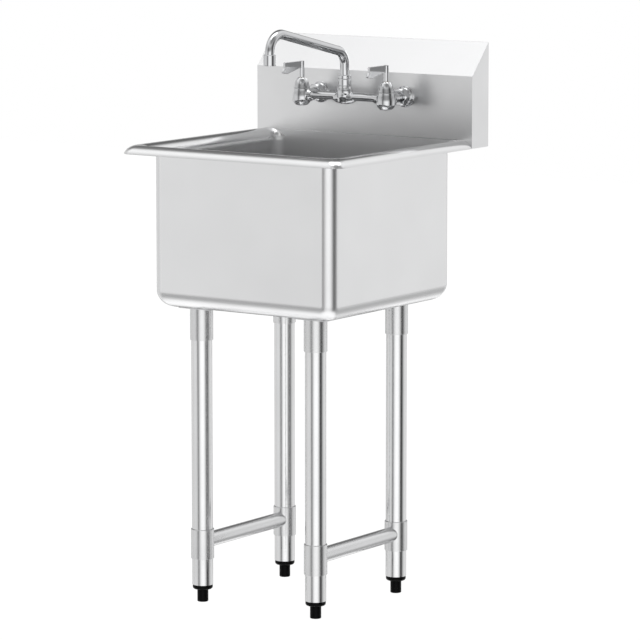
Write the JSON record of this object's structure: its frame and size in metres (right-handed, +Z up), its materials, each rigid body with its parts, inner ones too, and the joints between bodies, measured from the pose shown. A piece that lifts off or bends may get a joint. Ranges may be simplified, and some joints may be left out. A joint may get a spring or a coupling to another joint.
{
  "type": "utility laundry sink",
  "caption": "Free-standing utility laundry sink: deep square steel bowl on four tube legs, with a backsplash and a wall faucet.",
  "frame": {"origin": "on the floor, at the centre of the overall width and depth", "axes": "+Z up, the front of the sink faces -Y, +X is the right side seen from the front"},
  "size_m": [0.52, 0.53, 1.1388],
  "materials": {
    "bowl_steel": "fine satin stainless sheet, polished rim",
    "backsplash_steel": "fine satin stainless sheet",
    "plate_steel": "mill finish stainless plate",
    "tube_steel": "polished stainless tube",
    "sleeve_steel": "polished stainless sleeve",
    "crossbar_steel": "satin stainless tube",
    "screw_steel": "dark zinc-plated screw",
    "drain_steel": "polished stainless pressing",
    "seal_rubber": "black moulded rubber",
    "fibre": "pressed fibre ring",
    "locknut_metal": "die-cast nut",
    "faucet_chrome": "bright chrome plating",
    "brass": "machined brass",
    "washer_steel": "plain steel washer",
    "foot_plastic": "black moulded nylon foot",
    "insert_plastic": "black moulded nylon plug",
    "insert_white": "moulded flow insert"
  },
  "bodies": {
    "root": {"bowl": "bowl_steel", "backsplash_panel": "backsplash_steel", "backsplash_end_left": "backsplash_steel", "backsplash_end_right": "backsplash_steel", "socket_plates": "plate_steel", "leg_tube_front_left": "tube_steel", "leg_socket_front_left": "sleeve_steel", "crossbar_sleeve_front_left": "sleeve_steel", "foot_insert_front_left": "insert_plastic", "leg_tube_front_right": "tube_steel", "leg_socket_front_right": "sleeve_steel", "crossbar_sleeve_front_right": "sleeve_steel", "foot_insert_front_right": "insert_plastic", "leg_tube_rear_left": "tube_steel", "leg_socket_rear_left": "sleeve_steel", "crossbar_sleeve_rear_left": "sleeve_steel", "foot_insert_rear_left": "insert_plastic", "leg_tube_rear_right": "tube_steel", "leg_socket_rear_right": "sleeve_steel", "crossbar_sleeve_rear_right": "sleeve_steel", "foot_insert_rear_right": "insert_plastic", "crossbar_left": "crossbar_steel", "crossbar_right": "crossbar_steel", "set_screws": "screw_steel", "strainer_body": "drain_steel", "drain_gasket": "seal_rubber", "coupling_washers": "seal_rubber", "drain_friction_ring": "fibre", "drain_locknut": "locknut_metal", "faucet_body": "faucet_chrome", "wall_flange_left": "faucet_chrome", "wall_flange_right": "faucet_chrome", "coupling_nut_left": "faucet_chrome", "coupling_nut_right": "faucet_chrome", "bonnet_left": "faucet_chrome", "bonnet_right": "faucet_chrome", "spout_nut": "faucet_chrome", "inlet_shank_left": "brass", "inlet_shank_right": "brass", "shank_locknuts": "brass", "valve_cartridge_left": "brass", "valve_cartridge_right": "brass", "shank_washers": "washer_steel"},
    "spout": {"spout_tube": "faucet_chrome", "spout_o_rings": "seal_rubber", "aerator_housing": "faucet_chrome", "aerator_insert": "insert_white"},
    "handle_left": {"handle_left": "faucet_chrome", "valve_stem_left": "brass", "handle_screw_left": "screw_steel"},
    "handle_right": {"handle_right": "faucet_chrome", "valve_stem_right": "brass", "handle_screw_right": "screw_steel"},
    "basket": {"strainer_basket": "drain_steel", "basket_post": "drain_steel", "basket_stopper": "seal_rubber"},
    "foot_front_left": {"foot_front_left": "foot_plastic"},
    "foot_front_right": {"foot_front_right": "foot_plastic"},
    "foot_rear_left": {"foot_rear_left": "foot_plastic"},
    "foot_rear_right": {"foot_rear_right": "foot_plastic"}
  },
  "joints": [
    {"name": "spout_swing", "type": "hinge", "parent": "root", "child": "spout", "pos_m": [0, 0.139, 1.015], "axis": [0, 0, 1], "range_deg": [-90, 90]},
    {"name": "handle_left_turn", "type": "hinge", "parent": "root", "child": "handle_left", "pos_m": [-0.1016, 0.135, 0.993], "axis": [0, 0, 1], "range_deg": [-90, 0]},
    {"name": "handle_right_turn", "type": "hinge", "parent": "root", "child": "handle_right", "pos_m": [0.1016, 0.135, 0.993], "axis": [0, 0, 1], "range_deg": [0, 90]},
    {"name": "basket_lift", "type": "slide", "parent": "root", "child": "basket", "axis": [0, 0, 1], "range_m": [0, 0.345]},
    {"name": "foot_front_left_extend", "type": "slide", "parent": "root", "child": "foot_front_left", "axis": [0, 0, -1], "range_m": [0, 0.025]},
    {"name": "foot_front_right_extend", "type": "slide", "parent": "root", "child": "foot_front_right", "axis": [0, 0, -1], "range_m": [0, 0.025]},
    {"name": "foot_rear_left_extend", "type": "slide", "parent": "root", "child": "foot_rear_left", "axis": [0, 0, -1], "range_m": [0, 0.025]},
    {"name": "foot_rear_right_extend", "type": "slide", "parent": "root", "child": "foot_rear_right", "axis": [0, 0, -1], "range_m": [0, 0.025]}
  ]
}
